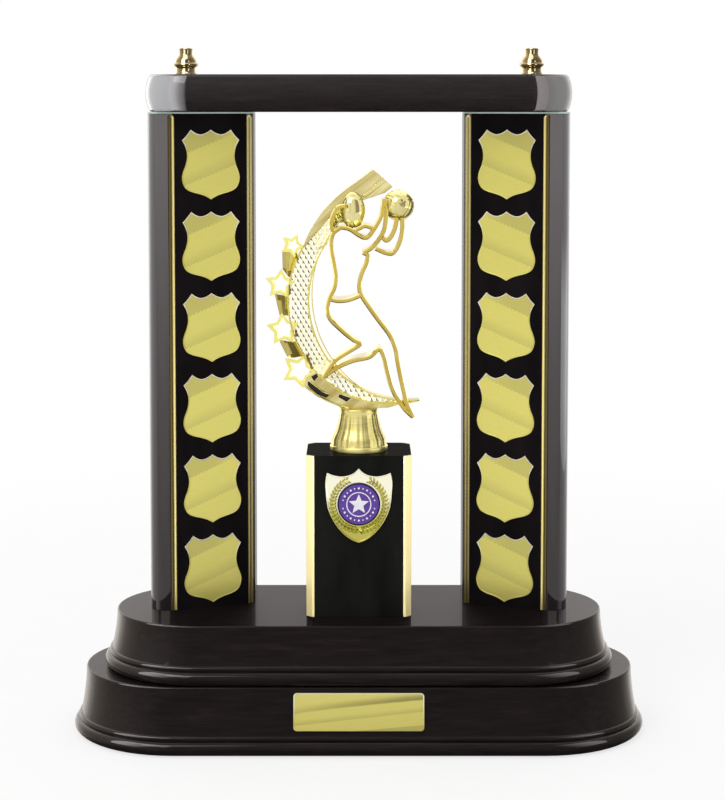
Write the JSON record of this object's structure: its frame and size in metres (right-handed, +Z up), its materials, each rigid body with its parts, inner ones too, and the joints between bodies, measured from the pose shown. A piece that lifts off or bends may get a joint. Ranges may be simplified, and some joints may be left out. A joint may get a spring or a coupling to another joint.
{
  "type": "perpetual trophy",
  "caption": "Two-tier perpetual trophy with shield-covered columns, a tie beam and a plated netball figure on a black pedestal.",
  "frame": {"origin": "middle of the plinth's footprint, on the surface that the trophy stands on", "axes": "+Z up, -Y towards the viewer (the nameplate's side), +X to the viewer's right"},
  "size_m": [0.3408, 0.1272, 0.4056],
  "materials": {
    "rosewood": "piano gloss lacquer over dark rosewood",
    "black_laminate": "gloss black",
    "plate_gold": "bright gold engraving plate",
    "plated_gold": "bright gold plating on plastic",
    "gold_edge": "polished gold foil strip",
    "brass": "polished and lacquered",
    "pale_pad": "pale green sheet",
    "steel": "zinc plated",
    "felt": "dark green felt",
    "badge_black": "gloss",
    "badge_print": "printed disc with a white star, gloss"
  },
  "bodies": {
    "trophy": {"lower_plinth": "rosewood", "upper_plinth": "rosewood", "base_felt": "felt", "plinth_screws": "steel", "left_column": "rosewood", "right_column": "rosewood", "left_panel": "black_laminate", "right_panel": "black_laminate", "left_outer_trim": "plate_gold", "left_inner_trim": "plate_gold", "right_outer_trim": "plate_gold", "right_inner_trim": "plate_gold", "left_top_pad": "pale_pad", "right_top_pad": "pale_pad", "left_shield_1": "plate_gold", "left_shield_2": "plate_gold", "left_shield_3": "plate_gold", "left_shield_4": "plate_gold", "left_shield_5": "plate_gold", "left_shield_6": "plate_gold", "right_shield_1": "plate_gold", "right_shield_2": "plate_gold", "right_shield_3": "plate_gold", "right_shield_4": "plate_gold", "right_shield_5": "plate_gold", "right_shield_6": "plate_gold", "beam": "rosewood", "left_tie_rod": "steel", "right_tie_rod": "steel", "tie_rod_washers": "steel", "tie_rod_nuts": "steel", "pedestal_block": "black_laminate", "pedestal_edge_front_left": "gold_edge", "pedestal_edge_front_right": "gold_edge", "pedestal_edge_back_left": "gold_edge", "pedestal_edge_back_right": "gold_edge", "badge_shield": "plated_gold", "badge_rim": "badge_black", "badge_disc": "badge_print", "nameplate": "plate_gold", "figure_riser": "plated_gold", "figure_crescent": "plated_gold", "figure_stars": "plated_gold", "figure_player": "plated_gold", "figure_rod": "steel", "figure_rod_washer": "steel", "figure_rod_nut": "steel"},
    "left_finial_nut": {"left_finial": "brass"},
    "right_finial_nut": {"right_finial": "brass"}
  },
  "joints": [
    {"name": "left_finial_turn", "type": "hinge", "parent": "trophy", "child": "left_finial_nut", "pos_m": [-0.1017, 0, 0.39], "axis": [0, 0, 1], "range_deg": [0, 1800]},
    {"name": "right_finial_turn", "type": "hinge", "parent": "trophy", "child": "right_finial_nut", "pos_m": [0.1017, 0, 0.39], "axis": [0, 0, 1], "range_deg": [0, 1800]}
  ]
}
